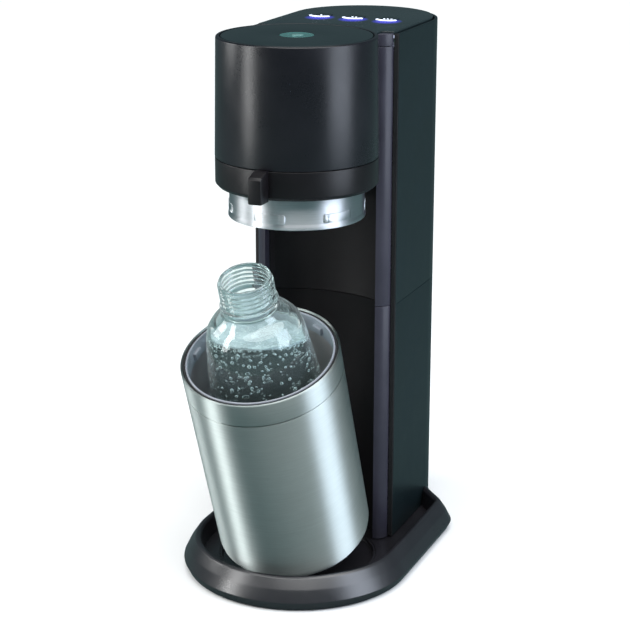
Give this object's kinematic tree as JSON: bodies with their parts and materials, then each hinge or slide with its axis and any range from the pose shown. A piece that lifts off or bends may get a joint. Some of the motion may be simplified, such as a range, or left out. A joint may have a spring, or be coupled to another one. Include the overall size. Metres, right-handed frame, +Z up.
{
  "type": "soda carbonator",
  "caption": "Electric soda carbonator: column with gas cylinder, round head with bayonet lock, lit buttons, tilting seat, steel carrier and glass bottle.",
  "frame": {"origin": "centre of the whole object at rest, on the surface it stands on", "axes": "+Z up, -Y towards the user (the leaning carrier), +X to the user's right"},
  "size_m": [0.191, 0.328, 0.44],
  "materials": {
    "charcoal_plastic": "satin moulded",
    "slate_plastic": "satin moulded",
    "gloss_black_plastic": "glossy",
    "black_plastic": "matt",
    "handle_grey": "matt",
    "satin_ring_metal": "satin",
    "brushed_steel": "brushed",
    "pin_steel": "drawn",
    "valve_brass": "machined",
    "cylinder_paint": "gloss paint",
    "black_rubber": "matt",
    "grey_liner": "satin",
    "clear_glass": "clear",
    "light_guide": "translucent",
    "badge_green": "satin",
    "circuit_board": "satin",
    "coil_tape": "satin"
  },
  "bodies": {
    "machine": {"base_shell": "charcoal_plastic", "drip_dish": "charcoal_plastic", "post_left_lower": "charcoal_plastic", "post_left_upper": "charcoal_plastic", "post_left_cap": "charcoal_plastic", "post_right_lower": "charcoal_plastic", "post_right_upper": "charcoal_plastic", "post_right_cap": "charcoal_plastic", "head_shell": "charcoal_plastic", "lower_housing": "slate_plastic", "head_lid": "slate_plastic", "top_panel": "slate_plastic", "lower_front_panel": "gloss_black_plastic", "upper_front_panel": "gloss_black_plastic", "bottom_plate": "black_plastic", "cylinder_cradle": "black_plastic", "head_cup": "black_plastic", "power_jack": "black_plastic", "valve_block": "handle_grey", "manifold": "handle_grey", "seat_pin": "pin_steel", "column_frame": "pin_steel", "handle_pin": "pin_steel", "nozzle_tube": "pin_steel", "cylinder_valve": "valve_brass", "relief_valve": "valve_brass", "gas_cylinder": "cylinder_paint", "foot_1": "black_rubber", "foot_2": "black_rubber", "foot_3": "black_rubber", "foot_4": "black_rubber", "bottle_seal": "black_rubber", "gas_hose": "black_rubber", "light_left": "light_guide", "light_centre": "light_guide", "light_right": "light_guide", "lid_badge": "badge_green", "control_board": "circuit_board", "solenoid_coil": "coil_tape"},
    "lock": {"lock_collar": "charcoal_plastic", "lock_lever": "charcoal_plastic", "bayonet_ring": "satin_ring_metal"},
    "seat": {"tilting_seat": "black_plastic"},
    "carrier": {"carrier_shell": "brushed_steel", "carrier_collar": "brushed_steel", "rim_gasket": "black_rubber", "carrier_liner": "grey_liner", "bottle_pad": "black_rubber"},
    "bottle": {"glass_bottle": "clear_glass"},
    "left_button": {"button_left": "gloss_black_plastic"},
    "centre_button": {"button_centre": "gloss_black_plastic"},
    "right_button": {"button_right": "gloss_black_plastic"},
    "cover": {"rear_cover": "slate_plastic"},
    "latch": {"cover_latch": "black_plastic"},
    "handle": {"cylinder_handle": "handle_grey"},
    "connector": {"valve_connector": "black_plastic"},
    "plunger": {"solenoid_plunger": "pin_steel"}
  },
  "joints": [
    {"name": "lock_turn", "type": "hinge", "parent": "machine", "child": "lock", "pos_m": [0, -0.03575, 0.335], "axis": [0, 0, 1], "range_deg": [0, 30]},
    {"name": "seat_tilt", "type": "hinge", "parent": "machine", "child": "seat", "pos_m": [0, -0.09075, 0.0102], "axis": [1, 0, 0], "range_deg": [-21, 0]},
    {"name": "carrier_draw", "type": "slide", "parent": "seat", "child": "carrier", "axis": [0, -0.7071, 0.7071], "range_m": [0, 0.09]},
    {"name": "bottle_draw", "type": "slide", "parent": "carrier", "child": "bottle", "axis": [0, -0.3584, 0.9336], "range_m": [0, 0.024]},
    {"name": "left_button_press", "type": "slide", "parent": "machine", "child": "left_button", "axis": [0, 0, -1], "range_m": [0, 0.0015], "stiffness_N_per_m": 300, "springref_m": -0.002},
    {"name": "centre_button_press", "type": "slide", "parent": "machine", "child": "centre_button", "axis": [0, 0, -1], "range_m": [0, 0.0015], "stiffness_N_per_m": 300, "springref_m": -0.002},
    {"name": "right_button_press", "type": "slide", "parent": "machine", "child": "right_button", "axis": [0, 0, -1], "range_m": [0, 0.0015], "stiffness_N_per_m": 300, "springref_m": -0.002},
    {"name": "cover_draw", "type": "slide", "parent": "machine", "child": "cover", "axis": [0, 1, 0], "range_m": [0, 0.15]},
    {"name": "latch_press", "type": "slide", "parent": "cover", "child": "latch", "axis": [0, -1, 0], "range_m": [0, 0.003], "stiffness_N_per_m": 300, "springref_m": -0.003},
    {"name": "handle_swing", "type": "hinge", "parent": "machine", "child": "handle", "pos_m": [0, 0.08225, 0.396], "axis": [1, 0, 0], "range_deg": [0, 60]},
    {"name": "connector_lift", "type": "slide", "parent": "machine", "child": "connector", "axis": [0, 0, 1], "range_m": [0, 0.003]},
    {"name": "plunger_pull", "type": "slide", "parent": "machine", "child": "plunger", "axis": [0, 0, -1], "range_m": [0, 0.003], "stiffness_N_per_m": 200, "springref_m": -0.003}
  ],
  "couplings": [
    {"joint": "connector_lift", "follows": "handle_swing", "m_per_rad": 0.0028638}
  ]
}
